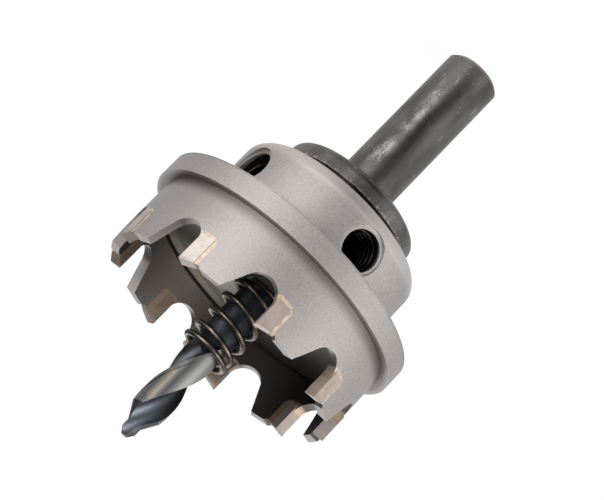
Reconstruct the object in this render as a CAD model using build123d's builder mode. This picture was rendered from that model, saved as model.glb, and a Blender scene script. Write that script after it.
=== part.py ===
from build123d import *
from math import acos, cos, degrees, radians, sin, tan
import os

# Carbide-tipped hole saw with an over-drill flange, on a plain round shank.
# Millimetres. The tool axis is Z: z = 0 is the flat end of the shank, and the pilot drill points up.
# The front (-Y) is the side of the screw that clamps the arbor. Seen from the tip, the saw turns
# anticlockwise, so each tooth leads with its highest angle about Z.

# ---------------------------------------------------------------- driving sizes: arbor
shank_diameter = 10.0
shank_length = 30.0
shank_end_chamfer = 0.6
collar_diameter = 25.5
collar_thickness = 3.25
collar_edge_radius = 1.5
neck_diameter = 21.0
neck_length = 1.5
spigot_wall = 1.3
arbor_flat_depth = 0.5
arbor_flat_length = 8.0

# ---------------------------------------------------------------- driving sizes: cutter body
hub_diameter = 35.0
hub_length = 11.75
hub_edge_radius = 2.5
flange_overhang = 1.8
flange_thickness = 3.8
flange_edge_radius = 0.35
cup_diameter = 45.6
cup_wall = 1.65
cup_height = 12.7
cup_depth = 10.0
cup_root_radius = 1.1
cup_floor_radius = 1.0
slide_clearance = 0.03

# ---------------------------------------------------------------- driving sizes: teeth
tooth_count = 9
first_tooth_angle = 6.2
gullet_depth = 6.3
gullet_radius = 3.0
gullet_back_slope = 24.0
tip_width = 2.5
tip_height = 5.4
tip_proud_of_rim = 0.5
tip_proud_of_wall = 0.2
tip_side_relief = 0.15
tip_face_slope = 15.0
relief_length = 3.4
relief_runout = 0.5
braze_thickness = 0.55
braze_front_width = 1.1
pocket_corner_radius = 1.3

# ---------------------------------------------------------------- driving sizes: pilot drill
drill_diameter = 6.0
drill_bore_depth = 21.0
drill_bore_clearance = 0.03
drill_reach = 21.1
drill_point_length = 5.4
pilot_tip_diameter = 2.6
pilot_tip_length = 1.3
pilot_tip_bevel = 1.1
pilot_tip_end_diameter = 1.1
flute_lead = 35.0
flute_length = 20.8
flute_runout = 2.5
flute_radius = 2.2
flute_angle = -84.3
web_thickness = 1.4
margin_angle = 14.0
margin_height = 0.12
drill_flat_depth = 0.4
drill_flat_length = 9.0

# ---------------------------------------------------------------- driving sizes: ejector spring
wire_diameter = 1.0
spring_drill_clearance = 0.55
spring_reach = 3.6
spring_seat_depth = 1.5
spring_seat_clearance = 0.2
spring_turns = 6.3
spring_closed_turns = 0.75
spring_closed_pitch = 1.05
spring_end_angle = 52.0
spring_grip_turns = 0.3
spring_grip_clearance = 0.05

# ---------------------------------------------------------------- driving sizes: set screws
screw_diameter = 6.8
screw_hole_clearance = 0.03
screw_lead_in = 0.55
screw_lead_in_depth = 0.75
screw_height_on_hub = 6.5
arbor_screw_angle = -90.0
arbor_screw_length = 4.0
drill_screw_angle = -5.2
drill_screw_length = 8.0
screw_point_bevel = 0.8
socket_width = 4.0
socket_depth = 2.0

# ---------------------------------------------------------------- radii that follow from them
hub_radius = hub_diameter / 2
cup_radius = cup_diameter / 2
cup_bore_radius = cup_radius - cup_wall
flange_radius = cup_radius + flange_overhang
drill_radius = drill_diameter / 2
wire_radius = wire_diameter / 2
coil_radius = drill_radius + spring_drill_clearance + wire_radius
seat_radius = coil_radius + wire_radius + spring_seat_clearance
spigot_radius = seat_radius + spigot_wall
screw_hole_radius = screw_diameter / 2 + screw_hole_clearance
cut_reach = flange_radius + cup_wall

# ---------------------------------------------------------------- heights that follow from them
collar_top = shank_length + collar_thickness
hub_base = collar_top + neck_length
flange_base = hub_base + hub_length
flange_top = flange_base + flange_thickness
rim_height = flange_top + cup_height
floor_height = rim_height - cup_depth
gullet_base = rim_height - gullet_depth
tip_top = rim_height + tip_proud_of_rim
tip_base = tip_top - tip_height
pocket_base = tip_base - braze_thickness
screw_height = hub_base + screw_height_on_hub
drill_base = floor_height - drill_bore_depth
drill_tip = tip_top + drill_reach
drill_shoulder = drill_tip - drill_point_length
pilot_base = drill_tip - pilot_tip_bevel - pilot_tip_length
point_slope = (pilot_base - drill_shoulder) / (drill_radius - pilot_tip_diameter / 2)
flute_base = drill_tip - flute_length
spring_base = floor_height - spring_seat_depth
spring_top = tip_top + spring_reach


def radial_plane(angle, radius=0.0, height=0.0):
    """Plane that faces outwards at an angle about Z: its X runs the way the saw turns, its Y up the axis."""
    outwards = Vector(cos(radians(angle)), sin(radians(angle)), 0)
    along_turn = Vector(-sin(radians(angle)), cos(radians(angle)), 0)
    return Plane(origin=outwards * radius + Vector(0, 0, height), x_dir=along_turn, z_dir=outwards)


def tooth_plane(index):
    """Plane through the axis and the leading edge of one tooth."""
    return radial_plane(first_tooth_angle + index * 360 / tooth_count)


def gullet_profile(plane):
    """Gullet ahead of a tooth: upright at the cutting face, round at the bottom, sloping at the back."""
    slope = radians(gullet_back_slope)
    centre_height = gullet_base + gullet_radius
    back_x = gullet_radius * (1 + cos(slope))
    back_y = centre_height - gullet_radius * sin(slope)
    open_y = tip_top + cup_wall
    open_x = back_x + (open_y - back_y) * tan(slope)
    with BuildSketch(plane) as profile:
        with BuildLine():
            Line((0, open_y), (0, centre_height))
            ThreePointArc((0, centre_height), (gullet_radius, gullet_base), (back_x, back_y))
            Line((back_x, back_y), (open_x, open_y))
            Line((open_x, open_y), (0, open_y))
        make_face()
    return profile.sketch


def pocket_profile(plane):
    """Seat of a carbide tip, wider than the tip by the braze around it, with round lower corners."""
    back_x = -tip_width - braze_thickness
    open_y = tip_top + cup_wall
    with BuildSketch(plane) as profile:
        with BuildLine():
            Polyline(
                (back_x, open_y),
                (back_x, pocket_base),
                (braze_front_width, pocket_base),
                (braze_front_width, open_y),
                close=True,
            )
        make_face()
        fillet(profile.vertices().group_by(Axis.Y)[0], pocket_corner_radius)
    return profile.sketch


def relief_profile(plane):
    """What grinding takes off the end of a tooth: a slope back from the edge, then a short run-out."""
    fall = tan(radians(tip_face_slope))
    runout_x = -relief_length - relief_runout
    open_y = tip_top + cup_wall
    with BuildSketch(plane) as profile:
        with BuildLine():
            Polyline(
                (cup_wall, tip_top + cup_wall * fall),
                (-relief_length, tip_top - relief_length * fall),
                (runout_x, rim_height),
                (runout_x, open_y),
                (cup_wall, open_y),
                close=True,
            )
        make_face()
    return profile.sketch


# ---------------------------------------------------------------- cutter body
# One turned piece: hub, over-drill flange and thin-walled cup, bored for the arbor.
with BuildPart() as cutter_body:
    with BuildSketch(Plane.XZ) as body_section:
        with BuildLine():
            Polyline(
                (spigot_radius + slide_clearance, hub_base),
                (hub_radius, hub_base),
                (hub_radius, flange_base),
                (flange_radius, flange_base),
                (flange_radius, flange_top),
                (cup_radius, flange_top),
                (cup_radius, rim_height),
                (cup_bore_radius, rim_height),
                (cup_bore_radius, floor_height),
                (spigot_radius + slide_clearance, floor_height),
                close=True,
            )
        make_face()
        corners = body_section.vertices()
        fillet(corners.sort_by_distance((hub_radius, hub_base))[0], hub_edge_radius)
        fillet(corners.sort_by_distance((flange_radius, flange_base))[0], flange_edge_radius)
        fillet(corners.sort_by_distance((flange_radius, flange_top))[0], flange_edge_radius)
        fillet(corners.sort_by_distance((cup_radius, flange_top))[0], cup_root_radius)
        fillet(corners.sort_by_distance((cup_bore_radius, floor_height))[0], cup_floor_radius)
    revolve(axis=Axis.Z)
    for index in range(tooth_count):
        extrude(gullet_profile(tooth_plane(index)), amount=cut_reach, mode=Mode.SUBTRACT)
        extrude(pocket_profile(tooth_plane(index)), amount=cut_reach, mode=Mode.SUBTRACT)
        extrude(relief_profile(tooth_plane(index)), amount=cut_reach, mode=Mode.SUBTRACT)
    with Locations(
        radial_plane(arbor_screw_angle, hub_radius, screw_height),
        radial_plane(drill_screw_angle, hub_radius, screw_height),
    ):
        CounterBoreHole(
            radius=screw_hole_radius,
            counter_bore_radius=screw_hole_radius + screw_lead_in,
            counter_bore_depth=screw_lead_in_depth,
            depth=hub_radius - spigot_radius / 2,
        )
cutter_body.part.label = "cutter_body"

# ---------------------------------------------------------------- carbide tips and their braze
tips = []
brazes = []
for index in range(tooth_count):
    angle = first_tooth_angle + index * 360 / tooth_count
    tip_plan = Plane(origin=(0, 0, tip_base), x_dir=radial_plane(angle).z_dir, z_dir=(0, 0, 1))
    with BuildPart() as carbide_tip:
        with BuildSketch(tip_plan):
            with BuildLine():
                Polyline(
                    (cup_bore_radius - tip_proud_of_wall, 0),
                    (cup_radius + tip_proud_of_wall, 0),
                    (cup_radius + tip_proud_of_wall - tip_side_relief, -tip_width),
                    (cup_bore_radius - tip_proud_of_wall + tip_side_relief, -tip_width),
                    close=True,
                )
            make_face()
        extrude(amount=tip_height)
        extrude(relief_profile(tooth_plane(index)), amount=cut_reach, mode=Mode.SUBTRACT)
    carbide_tip.part.label = f"carbide_tip_{index + 1}"
    tips.append(carbide_tip.part)

    with BuildPart() as braze:
        with BuildSketch(Plane.XY.offset(pocket_base)):
            Circle(cup_radius)
            Circle(cup_bore_radius, mode=Mode.SUBTRACT)
        extrude(amount=tip_top - pocket_base)
        extrude(pocket_profile(tooth_plane(index)), amount=cut_reach, mode=Mode.INTERSECT)
        extrude(gullet_profile(tooth_plane(index)), amount=cut_reach, mode=Mode.SUBTRACT)
        extrude(relief_profile(tooth_plane(index)), amount=cut_reach, mode=Mode.SUBTRACT)
        add(carbide_tip.part, mode=Mode.SUBTRACT)
    braze.part.label = f"braze_{index + 1}"
    brazes.append(braze.part)

# ---------------------------------------------------------------- arbor
# Shank, collar, neck and spigot turned from one bar. The neck seats on the back of the hub, and the
# end of the spigot holds the drill and the spring.
with BuildPart() as arbor:
    with BuildSketch(Plane.XZ) as arbor_section:
        with BuildLine():
            Polyline(
                (0, 0),
                (shank_diameter / 2, 0),
                (shank_diameter / 2, shank_length),
                (collar_diameter / 2, shank_length),
                (collar_diameter / 2, collar_top),
                (neck_diameter / 2, collar_top),
                (neck_diameter / 2, hub_base),
                (spigot_radius, hub_base),
                (spigot_radius, floor_height),
                (0, floor_height),
                close=True,
            )
        make_face()
        corners = arbor_section.vertices()
        chamfer(corners.sort_by_distance((shank_diameter / 2, 0))[0], shank_end_chamfer)
        fillet(corners.sort_by_distance((collar_diameter / 2, shank_length))[0], collar_edge_radius)
    revolve(axis=Axis.Z)
    with Locations(Plane.XY.offset(floor_height)):
        CounterBoreHole(
            radius=drill_radius + drill_bore_clearance,
            counter_bore_radius=seat_radius,
            counter_bore_depth=spring_seat_depth,
            depth=drill_bore_depth,
        )
    with BuildSketch(radial_plane(arbor_screw_angle, spigot_radius - arbor_flat_depth, screw_height)):
        Rectangle(2 * spigot_radius, arbor_flat_length)
    extrude(amount=2 * arbor_flat_depth, mode=Mode.SUBTRACT)
    with BuildSketch(radial_plane(drill_screw_angle, 0, screw_height)):
        Circle(screw_hole_radius)
    extrude(amount=2 * spigot_radius, mode=Mode.SUBTRACT)
arbor.part.label = "arbor"

# ---------------------------------------------------------------- pilot drill
# Two right-hand flutes, lands relieved behind a narrow margin, and a stepped point with a pilot tip.
flute_offset = web_thickness / 2 + flute_radius
flute_edge_cosine = (drill_radius**2 + flute_offset**2 - flute_radius**2) / (2 * drill_radius * flute_offset)
flute_half_angle = degrees(acos(flute_edge_cosine))
flute_base_angle = flute_angle - 360 * (drill_shoulder - flute_base) / flute_lead
relieved_angle = 180 - 2 * flute_half_angle - margin_angle

with BuildSketch(Plane.XY.offset(flute_base)) as drill_section:
    Circle(drill_radius)
    for land in range(2):
        land_angle = flute_base_angle + 180 * land + flute_half_angle
        with BuildLine():
            inner = CenterArc((0, 0), drill_radius - margin_height, land_angle - margin_angle,
                              relieved_angle + margin_angle)
            outer = CenterArc((0, 0), drill_radius + margin_height, land_angle - margin_angle,
                              relieved_angle + margin_angle)
            Line(inner @ 0, outer @ 0)
            Line(inner @ 1, outer @ 1)
        make_face(mode=Mode.SUBTRACT)
    with PolarLocations(flute_offset, 2, start_angle=flute_base_angle):
        Circle(flute_radius, mode=Mode.SUBTRACT)

fluted_bar = Solid.extrude_linear_with_rotation(
    drill_section.sketch.face(),
    center=(0, 0, flute_base),
    normal=(0, 0, flute_length + drill_radius),
    angle=360 * (flute_length + drill_radius) / flute_lead,
)

with BuildPart() as pilot_drill:
    add(fluted_bar)
    with BuildSketch(Plane.XZ):
        with BuildLine():
            Polyline(
                (2 * drill_radius, drill_shoulder - point_slope * drill_radius),
                (pilot_tip_diameter / 2, pilot_base),
                (pilot_tip_diameter / 2, drill_tip - pilot_tip_bevel),
                (pilot_tip_end_diameter / 2, drill_tip),
                (0, drill_tip),
                (0, drill_tip + 2 * drill_radius),
                (2 * drill_radius, drill_tip + 2 * drill_radius),
                close=True,
            )
        make_face()
    revolve(axis=Axis.Z, mode=Mode.SUBTRACT)
    with BuildSketch(Plane.XZ):
        with BuildLine():
            Polyline(
                (0, drill_base),
                (drill_radius, drill_base),
                (drill_radius, flute_base),
                (web_thickness / 2, flute_base + flute_runout),
                (0, flute_base + flute_runout),
                close=True,
            )
        make_face()
    revolve(axis=Axis.Z)
    with BuildSketch(radial_plane(drill_screw_angle, drill_radius - drill_flat_depth, screw_height)):
        Rectangle(2 * drill_radius, drill_flat_length)
    extrude(amount=2 * drill_flat_depth, mode=Mode.SUBTRACT)
pilot_drill.part.label = "pilot_drill"

# ---------------------------------------------------------------- ejector spring
# Left-hand compression spring round the drill. Its end turns lie close, the turns between stand open,
# and the last stretch of wire is drawn in to grip the drill.
coil_rise = spring_top - spring_base - wire_diameter
closed_rise = spring_closed_pitch * (2 * spring_closed_turns + 1)
open_pitch = (coil_rise - closed_rise) / (spring_turns - 2 * spring_closed_turns - 1)


def rise_from_end(turn):
    """Climb of the wire over some turns from either end, at most half the spring."""
    ramp = min(max(turn - spring_closed_turns, 0), 1)
    free = max(turn - spring_closed_turns - 1, 0)
    eased = (open_pitch - spring_closed_pitch) * ramp**2 / 2
    return spring_closed_pitch * (turn - free) + eased + open_pitch * free


def wire_point(turn):
    """Centre of the wire a number of turns up from the seat."""
    if turn > spring_turns / 2:
        climb = coil_rise - rise_from_end(spring_turns - turn)
    else:
        climb = rise_from_end(turn)
    drawn_in = max(turn - spring_turns + spring_grip_turns, 0) / spring_grip_turns
    radius = coil_radius - drawn_in**2 * (spring_drill_clearance - spring_grip_clearance)
    angle = radians(spring_end_angle + 360 * (spring_turns - turn))
    return (radius * cos(angle), radius * sin(angle), spring_base + wire_radius + climb)


points_per_turn = 12
steps = round(spring_turns * points_per_turn)
with BuildPart() as ejector_spring:
    with BuildLine() as wire_path:
        Spline(*[wire_point(spring_turns * step / steps) for step in range(steps + 1)])
    with BuildSketch(Plane(origin=wire_path.line @ 0, z_dir=wire_path.line % 0)):
        Circle(wire_radius)
    sweep()
ejector_spring.part.label = "ejector_spring"

# ---------------------------------------------------------------- set screws
# One clamps the arbor on its flat. The other passes through the spigot and clamps the drill.
screws = []
for name, angle, seat, length in (
    ("arbor_screw", arbor_screw_angle, spigot_radius - arbor_flat_depth, arbor_screw_length),
    ("drill_screw", drill_screw_angle, drill_radius - drill_flat_depth, drill_screw_length),
):
    with BuildPart() as set_screw:
        with BuildSketch(radial_plane(angle, seat, screw_height)):
            Circle(screw_diameter / 2)
        extrude(amount=length)
        point_edge = set_screw.edges().filter_by(GeomType.CIRCLE).sort_by_distance((0, 0, screw_height))[0]
        chamfer(point_edge, screw_point_bevel)
        with BuildSketch(radial_plane(angle, seat + length, screw_height)):
            RegularPolygon(radius=socket_width / 2, side_count=6, major_radius=False)
        extrude(amount=-socket_depth, mode=Mode.SUBTRACT)
    set_screw.part.label = name
    screws.append(set_screw.part)

# ---------------------------------------------------------------- export, one file for each piece
os.makedirs("parts", exist_ok=True)
pieces = [cutter_body.part, arbor.part, pilot_drill.part, ejector_spring.part, *tips, *brazes, *screws]
for piece in pieces:
    export_step(piece, f"parts/{piece.label}.step")
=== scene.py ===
"""Looks of a carbide-tipped hole saw, laid over its construction model.

The construction model gives each piece at its real size and place. This script gives each piece the finish
that its making leaves on it, with some painted light and shade in its colours, adds the fine screw threads,
and sets the saw in a pale, softly lit studio.
"""
import logging
import math
from dataclasses import dataclass, field
from enum import Enum

import bpy
from mathutils import Matrix, Vector


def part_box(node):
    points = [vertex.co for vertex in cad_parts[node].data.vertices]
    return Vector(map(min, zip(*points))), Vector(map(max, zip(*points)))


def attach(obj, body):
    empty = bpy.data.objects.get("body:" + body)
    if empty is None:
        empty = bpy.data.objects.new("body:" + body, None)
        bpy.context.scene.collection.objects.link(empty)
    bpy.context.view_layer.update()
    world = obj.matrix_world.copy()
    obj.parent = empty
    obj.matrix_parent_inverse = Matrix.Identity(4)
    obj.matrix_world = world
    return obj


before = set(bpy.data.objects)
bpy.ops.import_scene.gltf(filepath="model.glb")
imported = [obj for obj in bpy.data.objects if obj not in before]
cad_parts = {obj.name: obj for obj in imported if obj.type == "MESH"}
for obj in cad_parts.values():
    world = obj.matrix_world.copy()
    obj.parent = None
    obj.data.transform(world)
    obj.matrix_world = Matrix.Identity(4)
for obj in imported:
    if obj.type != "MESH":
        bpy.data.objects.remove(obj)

log = logging.getLogger("hole_saw")
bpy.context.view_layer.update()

Value = bpy.types.NodeSocket | float
Colour = bpy.types.NodeSocket | str
Limit = tuple[bpy.types.NodeSocket, float, float]
Range = tuple[float, float]


def mm(length: float) -> float:
    """Give a length in millimetres as metres."""
    return length / 1000.0


def linear(code: str) -> tuple[float, float, float, float]:
    """Turn an sRGB colour into the linear values that shaders take.

    Args:
        code: Six hex digits, two each for red, green and blue.

    Returns:
        Linear red, green and blue, and an alpha of 1.
    """
    parts = [int(code[start:start + 2], 16) / 255 for start in (0, 2, 4)]
    shades = [part / 12.92 if part <= 0.04045 else ((part + 0.055) / 1.055) ** 2.4 for part in parts]
    return (shades[0], shades[1], shades[2], 1.0)


def add_node(
    tree: bpy.types.NodeTree, kind: str, inputs: dict[str | int, object], **settings: object
) -> bpy.types.Node:
    """Add one node, with its settings, its values and what is linked into it.

    Args:
        tree: Node tree that gets the node.
        kind: The node's type name.
        inputs: For each input, by name or number, a plain value or the output socket that feeds it.
        **settings: Properties of the node itself, such as its operation.

    Returns:
        The new node.
    """
    node = tree.nodes.new(kind)
    for name, value in settings.items():
        setattr(node, name, value)
    for key, value in inputs.items():
        if isinstance(value, bpy.types.NodeSocket):
            tree.links.new(value, node.inputs[key])
        else:
            node.inputs[key].default_value = value
    return node


class Surface:
    """The node tree of one finish, with the masks and patterns that several finishes share."""

    # Likeness of a face to itself with rounded edges: from no edge at all to the line of an edge.
    EDGE_LIKENESS: Range = (0.985, 0.90)
    EDGE_SAMPLES: int = 6
    # How far a face looks out or in: from too far to be a side to nearly along a radius.
    SIDE_TILT: Range = (0.6, 0.25)

    def __init__(self, name: str) -> None:
        """Start a material with only its shader, and measure where each place on the piece lies.

        Args:
            name: Name of the material.
        """
        self.material = bpy.data.materials.new(name)
        self.material.use_nodes = True
        self.tree = self.material.node_tree
        self.shader = self.tree.nodes["Principled BSDF"]
        self.place = add_node(self.tree, "ShaderNodeTexCoord", {}).outputs["Object"]
        x, y, self.height = add_node(self.tree, "ShaderNodeSeparateXYZ", {0: self.place}).outputs
        self.across = add_node(self.tree, "ShaderNodeCombineXYZ", {0: x, 1: y}).outputs[0]
        self.radius = add_node(
            self.tree, "ShaderNodeVectorMath", {0: self.across}, operation="LENGTH"
        ).outputs["Value"]
        self.turn = add_node(self.tree, "ShaderNodeMath", {0: y, 1: x}, operation="ARCTAN2").outputs[0]

    def all_of(self, *masks: Value) -> Value:
        """Multiply masks, so that the result is strong only where each of them is.

        Args:
            *masks: Masks from 0 to 1, or plain shares that weaken the others.

        Returns:
            One mask, from 0 to 1.
        """
        result = masks[0]
        for mask in masks[1:]:
            product = add_node(self.tree, "ShaderNodeMath", {0: result, 1: mask}, operation="MULTIPLY")
            result = product.outputs[0]
        return result

    def where(self, *limits: Limit) -> Value:
        """Find the places that lie past every one of some limits, with soft borders.

        Args:
            *limits: A measure, the figure at which its mask is 0, and the figure at which it is 1.

        Returns:
            One mask, from 0 to 1.
        """
        masks = [
            add_node(
                self.tree,
                "ShaderNodeMapRange",
                {"Value": measure, "From Min": start, "From Max": full},
                interpolation_type="SMOOTHSTEP",
            ).outputs["Result"]
            for measure, start, full in limits
        ]
        return self.all_of(*masks)

    def mottle(
        self, size: float, detail: float = 2.0, stretch: tuple[float, float, float] = (1, 1, 1)
    ) -> bpy.types.NodeSocket:
        """Make an uneven pattern whose spots are about one size.

        Args:
            size: Size of a spot, in metres.
            detail: How much finer pattern lies inside the spots.
            stretch: Scale along each axis, under 1 where the spots are drawn out.

        Returns:
            The pattern, from 0 to 1.
        """
        mapped = add_node(self.tree, "ShaderNodeMapping", {"Vector": self.place, "Scale": stretch}).outputs[0]
        noise = add_node(
            self.tree, "ShaderNodeTexNoise", {"Vector": mapped, "Scale": 1 / size, "Detail": detail}
        )
        return noise.outputs["Fac"]

    def coat(self, under: Colour, over: Colour, *masks: Value) -> bpy.types.NodeSocket:
        """Lay one colour over another.

        Args:
            under: Colour that is there, as a socket or as hex digits.
            over: Colour that is laid on it, as a socket or as hex digits.
            *masks: Where and how strongly it is laid on, all of them together.

        Returns:
            The coated colour.
        """
        shades = [linear(shade) if isinstance(shade, str) else shade for shade in (under, over)]
        return add_node(
            self.tree,
            "ShaderNodeMix",
            {0: self.all_of(*masks), 6: shades[0], 7: shades[1]},
            data_type="RGBA",
        ).outputs[2]

    def vary(self, base: float, *swings: tuple[Value, float]) -> Value:
        """Let patterns move a plain value.

        Args:
            base: Value where every pattern is 0.
            *swings: A pattern from 0 to 1, and what it adds where it is 1.

        Returns:
            The value, as a socket.
        """
        result = base
        for pattern, swing in swings:
            result = add_node(
                self.tree, "ShaderNodeMath", {0: pattern, 1: swing, 2: result}, operation="MULTIPLY_ADD"
            ).outputs[0]
        return result

    def off_angle(self, angle: float) -> bpy.types.NodeSocket:
        """Measure how far round the axis a place lies from one angle.

        Args:
            angle: Angle about the axis, in radians.

        Returns:
            The angle between them, in radians.
        """
        apart = add_node(self.tree, "ShaderNodeMath", {0: self.turn, 1: angle}, operation="SUBTRACT")
        return add_node(self.tree, "ShaderNodeMath", {0: apart.outputs[0]}, operation="ABSOLUTE").outputs[0]

    def edges(self, width: float) -> Value:
        """Find the sharp edges of a piece.

        Args:
            width: How far a worn edge reaches, in metres.

        Returns:
            A mask that is 1 along sharp edges.
        """
        rounded = add_node(
            self.tree, "ShaderNodeBevel", {"Radius": width}, samples=self.EDGE_SAMPLES
        ).outputs[0]
        true = add_node(self.tree, "ShaderNodeNewGeometry", {}).outputs["Normal"]
        likeness = add_node(
            self.tree, "ShaderNodeVectorMath", {0: rounded, 1: true}, operation="DOT_PRODUCT"
        ).outputs["Value"]
        return self.where((likeness, *self.EDGE_LIKENESS))

    def outward(self) -> bpy.types.NodeSocket:
        """Measure how far a face looks away from the axis of the saw.

        Returns:
            1 on faces turned straight out, 0 on faces along a radius and -1 on faces turned in.
        """
        normal = add_node(self.tree, "ShaderNodeNewGeometry", {}).outputs["Normal"]
        outwards = add_node(
            self.tree, "ShaderNodeVectorMath", {0: self.across}, operation="NORMALIZE"
        ).outputs[0]
        return add_node(
            self.tree, "ShaderNodeVectorMath", {0: normal, 1: outwards}, operation="DOT_PRODUCT"
        ).outputs["Value"]

    def upward(self) -> bpy.types.NodeSocket:
        """Measure how far a face looks along the axis of the saw, from -1 to 1."""
        normal = add_node(self.tree, "ShaderNodeNewGeometry", {}).outputs["Normal"]
        return add_node(self.tree, "ShaderNodeSeparateXYZ", {0: normal}).outputs["Z"]

    def sideways(self) -> Value:
        """Find the faces that lie along a radius, such as the walls of a gullet."""
        tilt = add_node(self.tree, "ShaderNodeMath", {0: self.outward()}, operation="ABSOLUTE").outputs[0]
        return self.where((tilt, *self.SIDE_TILT))

    def relief(self, height: Value, depth: float, strength: float) -> None:
        """Raise the surface by a pattern.

        Args:
            height: Pattern, from 0 to 1.
            depth: Real height of the pattern, in metres.
            strength: Share of the effect that shows.
        """
        bump = add_node(
            self.tree, "ShaderNodeBump", {"Height": height, "Distance": depth, "Strength": strength}
        )
        self.tree.links.new(bump.outputs[0], self.shader.inputs["Normal"])

    def finish(self, colour: bpy.types.NodeSocket, metallic: float, roughness: Value) -> bpy.types.Material:
        """Set the shader's main values.

        Args:
            colour: Base colour.
            metallic: 1 for bare metal.
            roughness: Roughness, as a value or a socket.

        Returns:
            The finished material.
        """
        self.tree.links.new(colour, self.shader.inputs["Base Color"])
        self.shader.inputs["Metallic"].default_value = metallic
        if isinstance(roughness, bpy.types.NodeSocket):
            self.tree.links.new(roughness, self.shader.inputs["Roughness"])
        else:
            self.shader.inputs["Roughness"].default_value = roughness
        return self.material


@dataclass(frozen=True)
class BlastedSteel:
    """Heat-treated alloy steel, bead-blasted: even, warm and satin outside, still scaled inside the cup."""

    light: str = "b9b4b1"
    dark: str = "a39e9b"
    warm: str = "ada6a3"
    scale: str = "69625d"
    # Painted shade: the scale's colour on the side of the cup's inside that lies in shade.
    scale_in_painted_shade: str = "3a3532"
    # Painted light: the floor of the cup drawn far paler than its walls.
    floor: str = "efece4"
    # Painted shade: the floor's colour on that shaded side.
    floor_in_painted_shade: str = "797771"
    # Painted shade in the corner where the cup's floor meets its wall.
    corner: str = "2d2a28"
    cut: str = "85807d"
    # Painted shade on the hub just under the flange.
    root: str = "857f7b"
    # Painted shade along the flange's rear edge and on the cup just in front of the flange.
    painted_flange_shade: str = "6f6864"
    # Painted highlight on the rounded end of the hub.
    painted_hub_end_highlight: str = "dcd7d3"
    bright_edge: str = "e4dfdb"
    # Painted shade in the screw holes, whose walls are drawn dark.
    hole: str = "322e2b"
    # The marks of the beads are under 0.1 mm across, too fine to show, so they are drawn at 0.2 mm.
    grit: float = mm(0.2)
    grit_depth: float = mm(0.02)
    grit_strength: float = 0.6
    grit_range: Range = (0.3, 0.7)
    cloud: float = mm(7.0)
    cloud_range: Range = (0.35, 0.7)
    chip: float = mm(0.9)
    chip_range: Range = (0.3, 0.65)
    worn_width: float = mm(0.22)
    warm_share: float = 0.35
    rear_edge_share: float = 0.42
    worn_share: float = 0.6
    cut_share: float = 0.85
    root_share: float = 0.45
    painted_hub_end_highlight_share: float = 0.8
    painted_front_root_shade_share: float = 0.72
    roughness: float = 0.5
    grit_roughness: float = 0.12
    hub_base: float = mm(34.75)
    hub_radius: float = mm(17.5)
    painted_hub_end_highlight_reach: float = mm(3.6)
    hole_depth: float = mm(1.15)
    flange_base: float = mm(46.5)
    flange_top: float = mm(50.3)
    flange_radius: float = mm(24.6)
    hub_shade_reach: float = mm(3.0)
    groove_reach: float = mm(2.4)
    bore_radius: float = mm(21.18)
    floor_height: float = mm(53.0)
    corner_width: float = mm(0.6)
    # Angle about the axis where the cup's inside is left lit; away from it the inside gets painted shade.
    painted_lit_angle: float = math.radians(78.0)
    painted_lit_half_angle: float = math.radians(15.0)
    gullet_base: float = mm(56.7)

    def blasted_skin(self, surface: Surface, grit: Value) -> Colour:
        """Colour the blasted outside, with its rear edge in shadow and its sharp edges worn bright.

        Args:
            surface: Node tree of the finish.
            grit: Pattern of the blasting.

        Returns:
            The colour.
        """
        colour = surface.coat(self.dark, self.light, surface.where((grit, *self.grit_range)))
        cloud = surface.mottle(self.cloud, detail=3.0)
        colour = surface.coat(colour, self.warm, surface.where((cloud, *self.cloud_range)), self.warm_share)
        # Painted shadow: a dark line along the flange's rear edge.
        rear_edge = surface.where(
            (surface.height, self.flange_base + mm(0.36), self.flange_base + mm(0.12)),
            (surface.radius, self.flange_radius - mm(0.5), self.flange_radius - mm(0.35)),
        )
        colour = surface.coat(colour, self.painted_flange_shade, rear_edge, self.rear_edge_share)
        chips = surface.where((surface.mottle(self.chip, detail=4.0), *self.chip_range))
        worn = surface.all_of(surface.edges(self.worn_width), chips, self.worn_share)
        return surface.coat(colour, self.bright_edge, worn)

    def scaled_cup(self, surface: Surface, colour: Colour) -> Colour:
        """Lay heat scale inside the cup, with painted shade on one side and in the corner, and painted light
        on the floor.

        Args:
            surface: Node tree of the finish.
            colour: Colour so far.

        Returns:
            The colour with the scale and the painted light and shade on it.
        """
        inside = surface.where(
            (surface.radius, self.bore_radius + mm(0.02), self.bore_radius),
            (surface.height, self.floor_height - mm(0.4), self.floor_height - mm(0.1)),
        )
        # The floor of the cup, where the painted light goes.
        on_floor = surface.where((surface.height, self.floor_height + mm(0.3), self.floor_height + mm(0.02)))
        # Painted shade: the corner between the cup's floor and wall drawn nearly black.
        half_corner = self.corner_width / 2
        painted_corner_shade_mask = surface.where(
            (surface.radius, self.bore_radius - self.corner_width, self.bore_radius - half_corner),
            (surface.height, self.floor_height + self.corner_width, self.floor_height + half_corner),
        )
        # Painted shade: the inside of the cup darker away from one side.
        off_painted_lit_side = surface.off_angle(self.painted_lit_angle)
        painted_shade_side = surface.where((off_painted_lit_side, self.painted_lit_half_angle, self.painted_lit_half_angle * 3))
        colour = surface.coat(colour, surface.coat(self.scale, self.scale_in_painted_shade, painted_shade_side), inside)
        colour = surface.coat(colour, surface.coat(self.floor, self.floor_in_painted_shade, painted_shade_side), inside, on_floor)
        return surface.coat(colour, self.corner, inside, painted_corner_shade_mask)

    def cut_gullets(self, surface: Surface, colour: Colour) -> Colour:
        """Grey the walls of the gullets, which were cut after the blasting.

        Args:
            surface: Node tree of the finish.
            colour: Colour so far.

        Returns:
            The colour with the cut walls on it.
        """
        above = surface.where(
            (surface.upward(), 0.9, 0.7),
            (surface.height, self.gullet_base - mm(0.3), self.gullet_base),
        )
        return surface.coat(colour, self.cut, surface.sideways(), above, self.cut_share)

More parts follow.
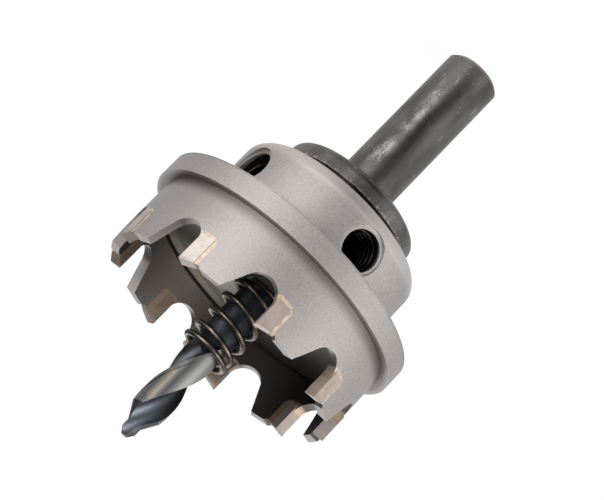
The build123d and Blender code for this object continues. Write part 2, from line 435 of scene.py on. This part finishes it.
    def hub_and_flange(self, surface: Surface, colour: Colour) -> Colour:
        """Paint shade on the two roots of the flange, and a highlight on the rounded end of the hub.

        Args:
            surface: Node tree of the finish.
            colour: Colour so far.

        Returns:
            The colour with the painted shade and the painted highlight on it.
        """
        # Painted shade: the hub darker just under the flange.
        painted_shade_under_flange = surface.where(
            (surface.height, self.flange_base - self.hub_shade_reach, self.flange_base),
            (surface.radius, self.hub_radius + mm(0.6), self.hub_radius + mm(0.1)),
        )
        colour = surface.coat(colour, self.root, painted_shade_under_flange, self.root_share)
        # Painted highlight: the hub's rounded end drawn lighter.
        painted_hub_end_highlight = surface.where((surface.height, self.hub_base + self.painted_hub_end_highlight_reach, self.hub_base + mm(1.0)))
        colour = surface.coat(colour, self.painted_hub_end_highlight, painted_hub_end_highlight, self.painted_hub_end_highlight_share)
        # Painted shade: the cup darker just in front of the flange, at its root.
        painted_front_root_shade = surface.where(
            (surface.height, self.flange_top + self.groove_reach, self.flange_top),
            (surface.height, self.flange_top - mm(0.4), self.flange_top - mm(0.1)),
            (surface.radius, self.bore_radius + mm(0.02), self.bore_radius + mm(0.1)),
            (surface.radius, self.flange_radius, self.flange_radius - mm(1.3)),
        )
        return surface.coat(colour, self.painted_flange_shade, painted_front_root_shade, self.painted_front_root_shade_share)

    def material(self) -> bpy.types.Material:
        """Make the finish of the cutter body.

        Returns:
            The material.
        """
        surface = Surface("bead_blasted_steel")
        grit = surface.mottle(self.grit, detail=1.0)
        colour = self.blasted_skin(surface, grit)
        colour = self.scaled_cup(surface, colour)
        colour = self.cut_gullets(surface, colour)
        colour = self.hub_and_flange(surface, colour)
        # Painted shade: the walls of the screw holes drawn dark.
        hole_wall = self.hub_radius - self.hole_depth
        painted_hole_shade_mask = surface.where(
            (surface.radius, hole_wall + mm(0.2), hole_wall),
            (surface.height, self.flange_base - mm(1.0), self.flange_base - mm(2.0)),
        )
        colour = surface.coat(colour, self.hole, painted_hole_shade_mask)
        surface.relief(grit, self.grit_depth, self.grit_strength)
        return surface.finish(colour, 1.0, surface.vary(self.roughness, (grit, self.grit_roughness)))


@dataclass(frozen=True)
class BlackenedSteel:
    """Turned steel, chemically blackened: charcoal, with silvery scuffs where chucks and neighbours rub."""

    dark: str = "5b5857"
    light: str = "787472"
    scuff: str = "c9c7c4"
    bare_edge: str = "aaa29b"
    browned_edge: str = "94786a"
    cloud: float = mm(3.0)
    cloud_range: Range = (0.3, 0.7)
    # The marks of the turning tool lie closer than this, too fine to show, so they are drawn at 0.3 mm.
    fine: float = mm(0.3)
    fine_depth: float = mm(0.01)
    fine_strength: float = 0.4
    patch: float = mm(4.0)
    scuff_ranges: tuple[Range, Range] = ((0.62, 0.74), (0.52, 0.66))
    scuff_share: float = 0.6
    fleck: float = mm(0.22)
    fleck_range: Range = (0.40, 0.64)
    drift: float = mm(1.6)
    rub_and_reflection_share: float = 0.9
    thinned_range: Range = (0.38, 0.62)
    thinned_share: float = 0.45
    dash: float = mm(0.4)
    dash_ranges: tuple[Range, Range] = ((0.68, 0.76), (0.45, 0.6))
    dash_share: float = 0.55
    browned_share: float = 0.8
    chip: float = mm(0.5)
    chip_range: Range = (0.5, 0.68)
    speck: float = mm(0.35)
    speck_range: Range = (0.7, 0.76)
    worn_width: float = mm(0.2)
    worn_range: Range = (0.35, 0.6)
    worn_share: float = 0.75
    roughness: float = 0.3
    cloud_roughness: float = 0.14
    end_chamfer: float = mm(0.6)
    rub_and_reflection_angle: float = math.radians(-42.0)
    rub_and_reflection_half_angle: float = math.radians(18.0)
    rub_and_reflection_start: float = mm(1.5)
    rub_and_reflection_end: float = mm(29.5)
    collar_top: float = mm(33.25)
    collar_radius: float = mm(12.75)

    def chuck_rub(self, surface: Surface, patch: Value) -> Value:
        """Find the flecked stretch of the shank that a chuck has rubbed.

        Args:
            surface: Node tree of the finish.
            patch: Broad pattern that thins the flecks.

        Returns:
            A mask of the flecks, already at the strength that they have.
        """
        rub_and_reflection_patch = surface.where(
            (surface.off_angle(self.rub_and_reflection_angle), self.rub_and_reflection_half_angle, self.rub_and_reflection_half_angle / 5),
            (surface.height, self.rub_and_reflection_start, self.rub_and_reflection_start + mm(9)),
            (surface.height, self.rub_and_reflection_end, self.rub_and_reflection_end - mm(8)),
        )
        flecks = surface.vary(
            0.0,
            (surface.mottle(self.fleck, detail=4.0, stretch=(1, 1, 0.6)), 0.5),
            (surface.mottle(self.drift, detail=3.0, stretch=(1, 1, 0.5)), 0.5),
        )
        dense = surface.where((patch, *self.thinned_range))
        patchy = surface.vary(self.thinned_share, (dense, 1.0 - self.thinned_share))
        return surface.all_of(rub_and_reflection_patch, surface.where((flecks, *self.fleck_range)), patchy, self.rub_and_reflection_share)

    def bared_collar(self, surface: Surface, colour: Colour) -> Colour:
        """Chip the rim of the collar and speck its face.

        Args:
            surface: Node tree of the finish.
            colour: Colour so far.

        Returns:
            The colour with chips and specks on it.
        """
        rim_chips = surface.where(
            (surface.height, self.collar_top - mm(0.55), self.collar_top - mm(0.25)),
            (surface.radius, self.collar_radius - mm(0.7), self.collar_radius - mm(0.25)),
            (surface.mottle(self.chip, detail=3.0), *self.chip_range),
        )
        colour = surface.coat(colour, self.bare_edge, rim_chips)
        specks = surface.where(
            (surface.radius, self.collar_radius - mm(2.5), self.collar_radius - mm(1.5)),
            (surface.mottle(self.speck, detail=1.0), *self.speck_range),
        )
        return surface.coat(colour, self.bare_edge, specks)

    def material(self) -> bpy.types.Material:
        """Make the finish of the arbor.

        Returns:
            The material.
        """
        surface = Surface("blackened_turned_steel")
        cloud = surface.mottle(self.cloud, detail=4.0, stretch=(1, 1, 0.35))
        fine = surface.mottle(self.fine, stretch=(1, 1, 0.5))
        patch = surface.mottle(self.patch)
        colour = surface.coat(self.dark, self.light, surface.where((cloud, *self.cloud_range)))
        of_fine, of_patch = self.scuff_ranges
        scuffed = surface.where((fine, *of_fine), (patch, *of_patch))
        colour = surface.coat(colour, self.scuff, scuffed, self.scuff_share)
        colour = surface.coat(colour, self.scuff, self.chuck_rub(surface, patch))
        dash = surface.mottle(self.dash, detail=1.0, stretch=(1, 1, 0.1))
        of_dash, of_cloud = self.dash_ranges
        dashes = surface.where((dash, *of_dash), (cloud, *of_cloud))
        colour = surface.coat(colour, self.scuff, dashes, self.dash_share)
        browned = surface.where(
            (surface.height, self.end_chamfer + mm(0.15), self.end_chamfer - mm(0.15))
        )
        colour = surface.coat(colour, self.browned_edge, browned, self.browned_share)
        worn = surface.all_of(surface.edges(self.worn_width), surface.where((fine, *self.worn_range)))
        colour = surface.coat(colour, self.bare_edge, worn, self.worn_share)
        colour = self.bared_collar(surface, colour)
        surface.relief(fine, self.fine_depth, self.fine_strength)
        return surface.finish(colour, 1.0, surface.vary(self.roughness, (cloud, self.cloud_roughness)))


@dataclass(frozen=True)
class OxidisedDrill:
    """High-speed steel, steam-tempered blue-black, with its lands ground bright after that."""

    skin: str = "3a3c40"
    skin_blue: str = "494d54"
    tip_tint: str = "666b75"
    # Painted light and shade on the lands: this colour on their lit side.
    land: str = "a3a3a1"
    # Painted reflection: a warm patch where a light is mirrored in the lands.
    painted_warm_reflection: str = "827a6f"
    # Painted shade: the lands' colour on their shaded side.
    land_in_painted_shade: str = "676767"
    cloud: float = mm(1.8)
    cloud_range: Range = (0.35, 0.7)
    tint_share: float = 0.8
    # Streaks along the lands, drawn in the shaded land colour: partly grinding marks, partly painted
    # reflection stripes.
    streak: float = mm(1.6)
    streak_range: Range = (0.42, 0.62)
    streak_share: float = 0.45
    # The scratches of the wheel are hundredths of a millimetre wide and would not show, so they are
    # drawn at 0.12 mm.
    grind: float = mm(0.12)
    grind_depth: float = mm(0.006)
    grind_strength: float = 0.5
    rub_and_reflection_share: float = 0.9
    roughness: float = 0.42
    ground_roughness: float = -0.08
    grind_roughness: float = 0.1
    land_turn: float = math.radians(-60.0)
    land_blend: float = math.radians(16.0)
    land_radius: float = mm(2.8)
    # Where the warm painted reflection lies on the lands.
    rub_and_reflection_angle: float = math.radians(-35.0)
    rub_and_reflection_half_angle: float = math.radians(15.0)
    rub_and_reflection_start: float = mm(71.5)
    rub_and_reflection_end: float = mm(78.5)
    ground_from: float = mm(64.2)
    point_base: float = mm(77.0)

    def ground_land(self, surface: Surface) -> Colour:
        """Colour the ground lands with painted light and shade, a warm painted reflection and partly painted
        streaks.

        Args:
            surface: Node tree of the finish.

        Returns:
            The colour.
        """
        # Painted light: the lands lit on one side about the axis and shaded on the other.
        turned = surface.where((surface.turn, self.land_turn, self.land_turn - self.land_blend))
        land = surface.coat(self.land_in_painted_shade, self.land, turned)
        # Partly grinding streaks, partly painted reflection stripes along the lands.
        streak = surface.mottle(self.streak, detail=1.0, stretch=(1, 1, 0.06))
        streaks = surface.where((streak, *self.streak_range))
        land = surface.coat(land, self.land_in_painted_shade, streaks, self.streak_share)
        # Painted reflection: a warm patch on the lands.
        rub_and_reflection_patch = surface.where(
            (surface.off_angle(self.rub_and_reflection_angle), self.rub_and_reflection_half_angle, self.rub_and_reflection_half_angle * 0.8),
            (surface.height, self.rub_and_reflection_start, self.rub_and_reflection_start + mm(0.8)),
            (surface.height, self.rub_and_reflection_end, self.rub_and_reflection_end - mm(0.8)),
        )
        return surface.coat(land, self.painted_warm_reflection, rub_and_reflection_patch, self.rub_and_reflection_share)

    def material(self) -> bpy.types.Material:
        """Make the finish of the pilot drill.

        Returns:
            The material.
        """
        surface = Surface("steam_tempered_high_speed_steel")
        cloud = surface.mottle(self.cloud, detail=3.0)
        skin = surface.coat(self.skin, self.skin_blue, surface.where((cloud, *self.cloud_range)))
        near_tip = surface.where((surface.height, self.point_base - mm(3.0), self.point_base + mm(2.5)))
        skin = surface.coat(skin, self.tip_tint, near_tip, self.tint_share)
        ground = surface.where(
            (surface.radius, self.land_radius - mm(0.06), self.land_radius),
            (surface.height, self.ground_from, self.ground_from + mm(0.5)),
        )
        colour = surface.coat(skin, self.ground_land(surface), ground)
        grind = surface.mottle(self.grind, stretch=(1, 1, 0.2))
        surface.relief(grind, self.grind_depth, self.grind_strength)
        swings = ((ground, self.ground_roughness), (grind, self.grind_roughness))
        return surface.finish(colour, 1.0, surface.vary(self.roughness, *swings))


@dataclass(frozen=True)
class DrawnWire:
    """Spring steel wire, drawn and left with its dark drawing skin, rubbed bronze on the outside."""

    dark: str = "57504a"
    light: str = "7c7166"
    streak: float = mm(0.8)
    streak_range: Range = (0.35, 0.7)
    # The lines of the drawing die are far finer than this and would not show, so they are drawn at 0.1 mm.
    fine: float = mm(0.1)
    fine_depth: float = mm(0.004)
    fine_strength: float = 0.5
    roughness: float = 0.4

    def material(self) -> bpy.types.Material:
        """Make the finish of the ejector spring.

        Returns:
            The material.
        """
        surface = Surface("drawn_spring_wire")
        streak = surface.mottle(self.streak, detail=3.0)
        colour = surface.coat(self.dark, self.light, surface.where((streak, *self.streak_range)))
        surface.relief(surface.mottle(self.fine), self.fine_depth, self.fine_strength)
        return surface.finish(colour, 1.0, self.roughness)


class CarbideShade(Enum):
    """How a tip came out of brazing and grinding, its own colour and the stain on it, darkened as painted
    shade for tips in shade.
    """

    CREAM = ("dcd3ca", "cdbfb1")
    ROSE = ("b3a5a0", "c0b2aa")
    STRAW = ("bfb0a3", "b5a390")
    BROWN = ("7a6a5f", "94857a")
    # Painted shade: dark brown for a tip whose inner face lies in shade inside the cup.
    UMBER = ("4c4038", "5f5147")


@dataclass(frozen=True)
class SinteredCarbide:
    """Tungsten carbide, pressed, sintered and ground: close-grained, with flux and braze stains."""

    shade: CarbideShade
    flux: str = "7c6c5e"
    fresh: str = "a69589"
    # Real grains are thousandths of a millimetre, too fine to show, so they are drawn at 0.25 mm.
    grain: float = mm(0.25)
    grain_depth: float = mm(0.01)
    grain_strength: float = 0.5
    grain_share: float = 0.25
    patch: float = mm(1.6)
    patch_range: Range = (0.45, 0.7)
    inward_range: Range = (-0.3, -0.8)
    flux_share: float = 0.5
    fresh_share: float = 0.5
    metallic: float = 0.55
    roughness: float = 0.42
    ground_from: float = mm(62.0)
    ground_to: float = mm(63.4)

    def material(self) -> bpy.types.Material:
        """Make the finish of the tips of one shade.

        Returns:
            The material.
        """
        surface = Surface(f"ground_tungsten_carbide_{self.shade.name.lower()}")
        own, stain = self.shade.value
        patch = surface.mottle(self.patch, detail=3.0)
        grain = surface.mottle(self.grain)
        colour = surface.coat(own, stain, surface.where((patch, *self.patch_range)))
        inward = surface.where((surface.outward(), *self.inward_range))
        colour = surface.coat(colour, self.flux, inward, self.flux_share)
        ground = surface.where((surface.height, self.ground_from, self.ground_to))
        colour = surface.coat(colour, self.fresh, ground, self.fresh_share)
        grained = add_node(
            surface.tree,
            "ShaderNodeMix",
            {0: self.grain_share, 6: colour, 7: grain},
            data_type="RGBA",
            blend_type="MULTIPLY",
        )
        surface.relief(grain, self.grain_depth, self.grain_strength)
        return surface.finish(grained.outputs[2], self.metallic, self.roughness)


@dataclass(frozen=True)
class SilverBraze:
    """Silver-copper braze as it set round a tip: pale brass, lumpy, dulled by flux."""

    light: str = "dac7b7"
    dark: str = "c0a68f"
    # Painted shade on the braze's faces that look along a radius.
    painted_side_shade: str = "9a8776"
    scaled: str = "7b6a5a"
    lump: float = mm(0.6)
    lump_range: Range = (0.3, 0.7)
    lump_depth: float = mm(0.06)
    lump_strength: float = 0.8
    painted_side_shade_share: float = 0.8
    inward_range: Range = (-0.3, -0.8)
    metallic: float = 0.6
    roughness: float = 0.52

    def material(self) -> bpy.types.Material:
        """Make the finish of the braze.

        Returns:
            The material.
        """
        surface = Surface("silver_braze_as_set")
        lump = surface.mottle(self.lump, detail=3.0)
        colour = surface.coat(self.dark, self.light, surface.where((lump, *self.lump_range)))
        # Painted shade: faces of the braze that look along a radius drawn darker.
        colour = surface.coat(colour, self.painted_side_shade, surface.sideways(), self.painted_side_shade_share)
        colour = surface.coat(colour, self.scaled, surface.where((surface.outward(), *self.inward_range)))
        surface.relief(lump, self.lump_depth, self.lump_strength)
        return surface.finish(colour, self.metallic, self.roughness)


@dataclass(frozen=True)
class BlackOxide:
    """Steel dipped in black oxide and oiled, as on set screws and in tapped holes: brown-black and sleek."""

    dark: str = "1f1c1a"
    light: str = "3a322d"
    cloud: float = mm(1.0)
    cloud_range: Range = (0.35, 0.7)
    cloud_depth: float = mm(0.01)
    cloud_strength: float = 0.4
    roughness: float = 0.35

    def material(self) -> bpy.types.Material:
        """Make the finish of the screws and threads.

        Returns:
            The material.
        """
        surface = Surface("black_oxide_steel")
        cloud = surface.mottle(self.cloud, detail=3.0)
        colour = surface.coat(self.dark, self.light, surface.where((cloud, *self.cloud_range)))
        surface.relief(cloud, self.cloud_depth, self.cloud_strength)
        return surface.finish(colour, 1.0, self.roughness)


def clear_selection() -> None:
    """Deselect every object, so that an operator acts only on what is added next."""
    bpy.ops.object.select_all(action="DESELECT")


def dress(node: str, material: bpy.types.Material) -> None:
    """Give one piece of the construction model its finish.

    Args:
        node: Name of the piece.
        material: Finish for all of its surface.
    """
    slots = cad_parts[node].data.materials
    slots.clear()
    slots.append(material)
    log.info("dressed %s in %s", node, material.name)


@dataclass
class TappedHole:
    """The thread cut in one screw hole of the hub, as a ridge wound along its wall."""

    name: str
    screw: str
    angle: float
    pitch: float = mm(1.25)
    wall_radius: float = mm(3.45)
    crest_radius: float = mm(3.0)
    half_base: float = mm(0.525)
    mouth: float = mm(16.3)
    merge_distance: float = mm(0.001)
    steps_a_turn: int = 48

    def draw_section(self) -> bpy.types.Object:
        """Draw the triangle that is wound into the ridge, as a closed line.

        Returns:
            The line, standing beside the axis that it is wound about.
        """
        clear_selection()
        bpy.ops.mesh.primitive_circle_add(vertices=3, radius=self.pitch / 2, fill_type="NGON")
        ridge = bpy.context.object
        ridge.name = self.name
        half = self.half_base
        section = ((self.wall_radius, -half), (self.wall_radius, half), (self.crest_radius, 0.0))
        for corner, (out, along) in zip(ridge.data.vertices, section):
            corner.co = (out, 0.0, along)
        bpy.ops.object.mode_set(mode="EDIT")
        bpy.ops.mesh.select_all(action="SELECT")
        bpy.ops.mesh.delete(type="ONLY_FACE")
        bpy.ops.object.mode_set(mode="OBJECT")
        return ridge

    def wind(self, ridge: bpy.types.Object, turns: int) -> None:
        """Wind the section into a closed ridge.

        Args:
            ridge: The section.
            turns: How many times it goes round the hole.
        """
        wind = ridge.modifiers.new("wind", "SCREW")
        wind.axis = "Z"
        wind.angle = 2 * math.pi
        wind.screw_offset = self.pitch
        wind.iterations = turns
        wind.steps = self.steps_a_turn
        wind.render_steps = self.steps_a_turn
        bpy.ops.object.modifier_apply(modifier=wind.name)
        bpy.ops.object.mode_set(mode="EDIT")
        bpy.ops.mesh.select_all(action="SELECT")
        bpy.ops.mesh.remove_doubles(threshold=self.merge_distance)
        bpy.ops.mesh.fill_holes(sides=3)
        bpy.ops.mesh.select_all(action="SELECT")
        bpy.ops.mesh.normals_make_consistent(inside=False)
        bpy.ops.object.mode_set(mode="OBJECT")

    def build(self, material: bpy.types.Material) -> bpy.types.Object:
        """Wind the ridge from the screw that lies in the hole out to the smooth mouth.

        Args:
            material: Finish of the thread.

        Returns:
            The ridge, in place.
        """
        low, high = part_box(self.screw)
        outwards = Vector((math.cos(self.angle), math.sin(self.angle), 0))
        reach = max(abs(Vector((corner.x, corner.y, 0)).dot(outwards)) for corner in (low, high))
        height = (low.z + high.z) / 2
        turns = int((self.mouth - reach) / self.pitch) - 1
        ridge = self.draw_section()
        self.wind(ridge, turns)
        start = outwards * (reach + self.pitch / 2) + Vector((0, 0, height))
        turn = outwards.to_track_quat("Z", "Y").to_matrix().to_4x4()
        ridge.matrix_world = Matrix.Translation(start) @ turn
        bpy.ops.object.transform_apply(location=True, rotation=True, scale=True)
        ridge.data.materials.append(material)
        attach(ridge, "root")
        log.info("wound %s, %d turns", self.name, turns)
        return ridge


@dataclass
class CutterBody:
    """The turned body, with its two tapped holes."""

    holes: list[TappedHole] = field(
        default_factory=lambda: [
            TappedHole("arbor_screw_thread", "arbor_screw", math.radians(-90)),
            TappedHole("drill_screw_thread", "drill_screw", math.radians(-5.2)),
        ]
    )

    def build(self) -> None:
        """Dress the body, its set screws and the threads that hold them."""
        dress("cutter_body", BlastedSteel().material())
        oxide = BlackOxide().material()
        for hole in self.holes:
            hole.build(oxide)
            dress(hole.screw, oxide)


@dataclass
class Teeth:
    """The carbide tips and the braze round them."""

    # Shade of each tip, from the first on: partly its own brazing stain, partly painted light and shade,
    # darker where a tip lies in shade.
    shades: tuple[CarbideShade, ...] = (
        CarbideShade.ROSE,
        CarbideShade.BROWN,
        CarbideShade.BROWN,
        CarbideShade.UMBER,
        CarbideShade.ROSE,
        CarbideShade.ROSE,
        CarbideShade.STRAW,
        CarbideShade.ROSE,
        CarbideShade.CREAM,
    )

    def build(self) -> None:
        """Dress each tip in the shade listed for it, and all the braze alike."""
        finishes = {shade: SinteredCarbide(shade).material() for shade in CarbideShade}
        braze = SilverBraze().material()
        for number, shade in enumerate(self.shades, start=1):
            dress(f"carbide_tip_{number}", finishes[shade])
            dress(f"braze_{number}", braze)


@dataclass
class DrillAndSpring:
    """The pilot drill and the spring that pushes the slug off it."""

    def build(self) -> None:
        """Dress both pieces."""
        dress("pilot_drill", OxidisedDrill().material())
        dress("ejector_spring", DrawnWire().material())


@dataclass
class Arbor:
    """The shank with its collar and spigot."""

    def build(self) -> None:
        """Dress the arbor."""
        dress("arbor", BlackenedSteel().material())


def away(azimuth: float, elevation: float) -> Vector:
    """Give the direction from the saw towards a place round it.

    Args:
        azimuth: Angle round the saw from its front, in radians.
        elevation: Angle above the floor, in radians.

    Returns:
        A direction of length 1.
    """
    level = math.cos(elevation)
    return Vector((math.sin(azimuth) * level, -math.cos(azimuth) * level, math.sin(elevation)))


def facing_back(back: Vector) -> Matrix:
    """Give the turn of a camera or lamp that looks against a direction, as a matrix."""
    return (-back).to_track_quat("-Z", "Y").to_matrix().to_4x4()


@dataclass(frozen=True)
class Softbox:
    """One large soft lamp, aimed at the middle of the saw."""

    name: str
    azimuth: float
    elevation: float
    distance: float
    width: float
    height: float
    power: float

    def hang(self, target: Vector) -> None:
        """Hang the lamp where only its light shows.

        Args:
            target: Point that the lamp is aimed at.
        """
        data = bpy.data.lights.new(self.name, "AREA")
        data.shape = "RECTANGLE"
        data.size = self.width
        data.size_y = self.height
        data.energy = self.power
        light = bpy.data.objects.new(self.name, data)
        light.visible_camera = False
        bpy.context.scene.collection.objects.link(light)
        back = away(self.azimuth, self.elevation)
        light.matrix_world = Matrix.Translation(target + back * self.distance) @ facing_back(back)


@dataclass(frozen=True)
class PaleFloor:
    """Matt white floor. A dark card on it shows only in what the saw mirrors: a painted reflection that
    streaks the steel.

    The card has two stretches with a gap between them: one near the saw and one far from it.
    """

    size: float = 8.0
    white: str = "f4f4f4"
    glow: float = 1.1
    glow_share: float = 0.85
    mirrored_dark: float = 0.05
    mirrored_pale: float = 0.78
    card_azimuth: float = math.radians(19.0)
    card_half_angle: float = math.radians(21.0)
    card_side_border: float = 0.08
    card_start: float = mm(16)
    card_start_border: float = mm(5)
    card_reach: float = mm(92)
    card_restart: float = mm(216)
    card_end_border: float = mm(12)

    def off_card(self, tree: bpy.types.NodeTree) -> bpy.types.NodeSocket:
        """Find the floor that the two stretches of the card leave free.

        Args:
            tree: Node tree of the floor.

        Returns:
            A mask, 0 on the card and 1 beside it, before it and in its gap.
        """
        place = add_node(tree, "ShaderNodeTexCoord", {}).outputs["Object"]
        x, y, _ = add_node(tree, "ShaderNodeSeparateXYZ", {0: place}).outputs
        across = add_node(tree, "ShaderNodeCombineXYZ", {0: x, 1: y}).outputs[0]
        distance = add_node(tree, "ShaderNodeVectorMath", {0: across}, operation="LENGTH").outputs["Value"]
        turned = add_node(
            tree,
            "ShaderNodeVectorRotate",
            {"Vector": across, "Angle": -self.card_azimuth},
            rotation_type="Z_AXIS",
        ).outputs[0]
        aside, behind, _ = add_node(tree, "ShaderNodeSeparateXYZ", {0: turned}).outputs
        forward = add_node(tree, "ShaderNodeMath", {0: behind, 1: -1.0}, operation="MULTIPLY").outputs[0]
        angle = add_node(tree, "ShaderNodeMath", {0: aside, 1: forward}, operation="ARCTAN2").outputs[0]
        angle = add_node(tree, "ShaderNodeMath", {0: angle}, operation="ABSOLUTE").outputs[0]
        side, border = self.card_half_angle, self.card_side_border
        limits = (
            (angle, side - border, side + border),
            (distance, self.card_start, self.card_start - self.card_start_border),
            (distance, self.card_reach, self.card_reach + self.card_end_border),
            (distance, self.card_restart + self.card_end_border, self.card_restart),
        )
        beside, before, past_reach, short_of_restart = [
            add_node(
                tree, "ShaderNodeMapRange", {"Value": measure, "From Min": start, "From Max": full}
            ).outputs[0]
            for measure, start, full in limits
        ]
        free = add_node(
            tree, "ShaderNodeMath", {0: past_reach, 1: short_of_restart}, operation="MULTIPLY"
        ).outputs[0]
        for mask in (before, beside):
            free = add_node(tree, "ShaderNodeMath", {0: free, 1: mask}, operation="MAXIMUM").outputs[0]
        return free

    def material(self) -> bpy.types.Material:
        """Make the finish of the floor: white to the eye, and still shaded under the saw.

        Returns:
            The material.
        """
        material = bpy.data.materials.new("pale_floor")
        material.use_nodes = True
        tree = material.node_tree
        tree.nodes.clear()
        rays = add_node(tree, "ShaderNodeLightPath", {}).outputs
        eye, through, mirror = (rays[f"Is {kind} Ray"] for kind in ("Camera", "Transmission", "Glossy"))
        seen = add_node(tree, "ShaderNodeMath", {0: eye, 1: through}, operation="MAXIMUM").outputs[0]
        share = add_node(
            tree, "ShaderNodeMath", {0: seen, 1: self.glow_share}, operation="MULTIPLY"
        ).outputs[0]
        # Painted reflection: glossy rays see the floor dark on the card and pale beside it.
        mirrored = add_node(
            tree,
            "ShaderNodeMapRange",
            {"Value": self.off_card(tree), "To Min": self.mirrored_dark, "To Max": self.mirrored_pale},
        ).outputs[0]
        mirrored = add_node(tree, "ShaderNodeMath", {0: mirror, 1: mirrored}, operation="MULTIPLY").outputs[0]
        matt = add_node(tree, "ShaderNodeBsdfDiffuse", {"Color": linear(self.white)}).outputs[0]
        white = add_node(tree, "ShaderNodeEmission", {"Strength": self.glow}).outputs[0]
        reflected = add_node(tree, "ShaderNodeEmission", {"Strength": mirrored}).outputs[0]
        plain = add_node(tree, "ShaderNodeMixShader", {0: mirror, 1: matt, 2: reflected}).outputs[0]
        mixed = add_node(tree, "ShaderNodeMixShader", {0: share, 1: plain, 2: white}).outputs[0]
        add_node(tree, "ShaderNodeOutputMaterial", {"Surface": mixed})
        return material

    def build(self) -> None:
        """Lay the floor."""
        clear_selection()
        bpy.ops.mesh.primitive_plane_add(size=self.size)
        floor = bpy.context.object
        floor.name = "floor"
        floor.data.materials.append(self.material())


@dataclass
class Studio:
    """Camera, floor, surroundings and lamps."""

    target: Vector = field(default_factory=lambda: Vector((0.00048, -0.00063, 0.0429)))
    azimuth: float = math.radians(22.40)
    elevation: float = math.radians(18.43)
    roll: float = math.radians(-135.8)
    distance: float = mm(415.1)
    nearest_seen: float = mm(20)
    farthest_seen: float = 30.0
    lens: float = 154.97
    sensor: float = 36.0
    pale_azimuth: float = math.radians(-68.0)
    pale_spread: float = 0.8
    wall_light: tuple[float, float] = (0.25, 0.8)
    ceiling_light: tuple[float, float] = (0.02, 0.3)
    wall_top: float = 0.05
    ceiling_start: float = 0.45
    floor: PaleFloor = PaleFloor()
    lamps: tuple[Softbox, ...] = (
        Softbox("key_softbox", math.radians(65.0), math.radians(12.0), 0.7, 0.5, 0.4, 4.5),
        Softbox("fill_softbox", math.radians(-38.0), math.radians(18.0), 0.8, 0.6, 0.5, 5.2),
        Softbox("back_softbox", math.radians(212.0), math.radians(20.0), 0.8, 0.6, 0.4, 1.5),
    )

    def build_camera(self) -> None:
        """Set the camera on its long lens, rolled so that the saw lies slantwise across the frame."""
        data = bpy.data.cameras.new("camera")
        data.lens = self.lens
        data.sensor_width = self.sensor
        data.clip_start = self.nearest_seen
        data.clip_end = self.farthest_seen
        camera = bpy.data.objects.new("camera", data)
        bpy.context.scene.collection.objects.link(camera)
        back = away(self.azimuth, self.elevation)
        rolled = facing_back(back) @ Matrix.Rotation(self.roll, 4, "Z")
        camera.matrix_world = Matrix.Translation(self.target + back * self.distance) @ rolled
        bpy.context.scene.camera = camera
        log.info("camera at %s", tuple(round(value, 4) for value in camera.location))

    def build_surroundings(self) -> None:
        """Make the walls pale and the ceiling darker, as in a studio lit from the sides."""
        world = bpy.data.worlds.new("studio")
        bpy.context.scene.world = world
        world.use_nodes = True
        tree = world.node_tree
        tree.nodes.clear()
        direction = add_node(tree, "ShaderNodeTexCoord", {}).outputs["Generated"]
        height = add_node(tree, "ShaderNodeSeparateXYZ", {0: direction}).outputs["Z"]
        towards_pale = add_node(
            tree,
            "ShaderNodeVectorMath",
            {0: direction, 1: away(self.pale_azimuth, 0.0)},
            operation="DOT_PRODUCT",
        ).outputs["Value"]
        wall, ceiling = [
            add_node(
                tree,
                "ShaderNodeMapRange",
                {
                    "Value": towards_pale,
                    "From Min": -self.pale_spread,
                    "From Max": self.pale_spread,
                    "To Min": dim,
                    "To Max": pale,
                },
            ).outputs[0]
            for dim, pale in (self.wall_light, self.ceiling_light)
        ]
        light = add_node(
            tree,
            "ShaderNodeMapRange",
            {
                "Value": height,
                "From Min": self.wall_top,
                "From Max": self.ceiling_start,
                "To Min": wall,
                "To Max": ceiling,
            },
            interpolation_type="SMOOTHSTEP",
        ).outputs[0]
        eye = add_node(tree, "ShaderNodeLightPath", {}).outputs["Is Camera Ray"]
        light = add_node(tree, "ShaderNodeMath", {0: eye, 1: light}, operation="MAXIMUM").outputs[0]
        glow = add_node(tree, "ShaderNodeBackground", {"Color": linear("ffffff"), "Strength": light})
        add_node(tree, "ShaderNodeOutputWorld", {"Surface": glow.outputs[0]})

    def build(self) -> None:
        """Build the whole studio."""
        self.build_camera()
        self.floor.build()
        self.build_surroundings()
        for lamp in self.lamps:
            lamp.hang(self.target)
        bpy.context.scene.view_settings.view_transform = "Standard"


def main() -> None:
    """Dress the saw and build the studio round it."""
    logging.basicConfig(level=logging.INFO, format="%(name)s: %(message)s")
    for assembly in (CutterBody(), Teeth(), DrillAndSpring(), Arbor(), Studio()):
        assembly.build()
        log.info("built %s", type(assembly).__name__)


if __name__ == "__main__":
    main()
